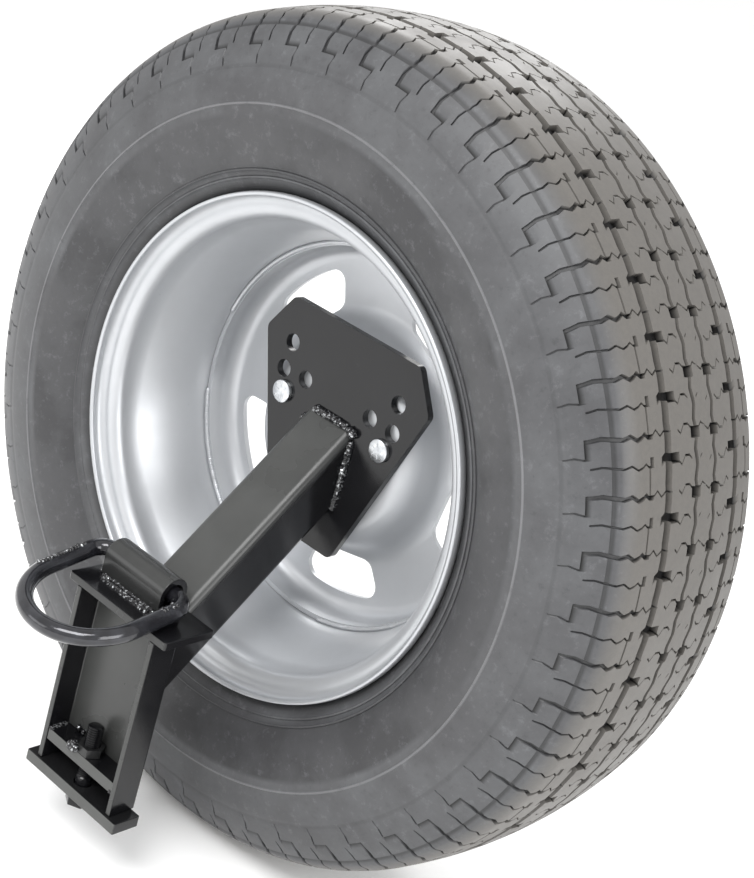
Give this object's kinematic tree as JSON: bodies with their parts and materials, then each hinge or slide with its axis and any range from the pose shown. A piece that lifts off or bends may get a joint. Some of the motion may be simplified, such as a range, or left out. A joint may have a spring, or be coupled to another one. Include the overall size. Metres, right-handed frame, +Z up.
{
  "type": "spare tire carrier",
  "caption": "Stake-pocket spare tyre carrier: clamped channel stub, sloping square arm, hexagonal wheel plate, tie-down ring and a mounted spare wheel.",
  "frame": {"origin": "middle of the cap plate's underside, above the hollow stub, where the carrier sits on the stake pocket", "axes": "+Z up along the stub, +Y from the stub towards the wheel along the wheel's axis, +X to the right seen from the stub"},
  "size_m": [0.666, 0.3695, 0.666],
  "materials": {
    "black_paint": "semi-gloss black paint over steel",
    "zinc_plate": "bright zinc plate",
    "silver_paint": "satin silver paint over steel",
    "tyre_rubber": "matt moulded rubber",
    "valve_rubber": "matt",
    "cap_plastic": "fine matt",
    "brass": "turned brass"
  },
  "bodies": {
    "carrier": {"mounting_plate": "black_paint", "arm_tube": "black_paint", "stub_channel": "black_paint", "cap_plate": "black_paint", "shelf_plate": "black_paint", "shelf_nut": "black_paint", "ring_clip": "black_paint", "wheel_stud_left": "zinc_plate", "wheel_stud_right": "zinc_plate"},
    "tie_ring": {"d_ring": "black_paint"},
    "clamp_bar": {"clamp_bar": "black_paint"},
    "clamp_bolt": {"clamp_bolt": "black_paint"},
    "spare_wheel": {"tyre": "tyre_rubber", "rim_barrel": "silver_paint", "wheel_disc": "silver_paint", "valve_stem": "valve_rubber", "valve_barrel": "brass"},
    "lug_nut_left": {"lug_nut_left": "zinc_plate"},
    "lug_nut_right": {"lug_nut_right": "zinc_plate"},
    "valve_cap": {"valve_cap": "cap_plastic"}
  },
  "joints": [
    {"name": "ring_swing", "type": "hinge", "parent": "carrier", "child": "tie_ring", "pos_m": [-0.012, 0.0214, 0.02065], "axis": [-1, 0, 0], "range_deg": [0, 150]},
    {"name": "clamp_slide", "type": "slide", "parent": "carrier", "child": "clamp_bar", "axis": [0, 0, -1], "range_m": [0, 0.0196]},
    {"name": "clamp_bolt_turn", "type": "hinge", "parent": "clamp_bar", "child": "clamp_bolt", "pos_m": [0, -0.0024, -0.1622], "axis": [0, 0, -1], "range_deg": [0, 3600]},
    {"name": "wheel_slide", "type": "slide", "parent": "carrier", "child": "spare_wheel", "axis": [0, 1, 0], "range_m": [0, 0.15]},
    {"name": "lug_nut_left_turn", "type": "hinge", "parent": "spare_wheel", "child": "lug_nut_left", "pos_m": [-0.05435, 0.19, 0.13761], "axis": [0, 1, 0], "continuous": true},
    {"name": "lug_nut_right_turn", "type": "hinge", "parent": "spare_wheel", "child": "lug_nut_right", "pos_m": [0.05435, 0.19, 0.13761], "axis": [0, 1, 0], "continuous": true},
    {"name": "valve_cap_turn", "type": "hinge", "parent": "spare_wheel", "child": "valve_cap", "pos_m": [-0.01476, 0.24632, 0.26042], "axis": [0.0828, 0.6101, -0.788], "continuous": true}
  ],
  "couplings": [
    {"joint": "clamp_slide", "follows": "clamp_bolt_turn", "m_per_rad": 0.00031096}
  ]
}
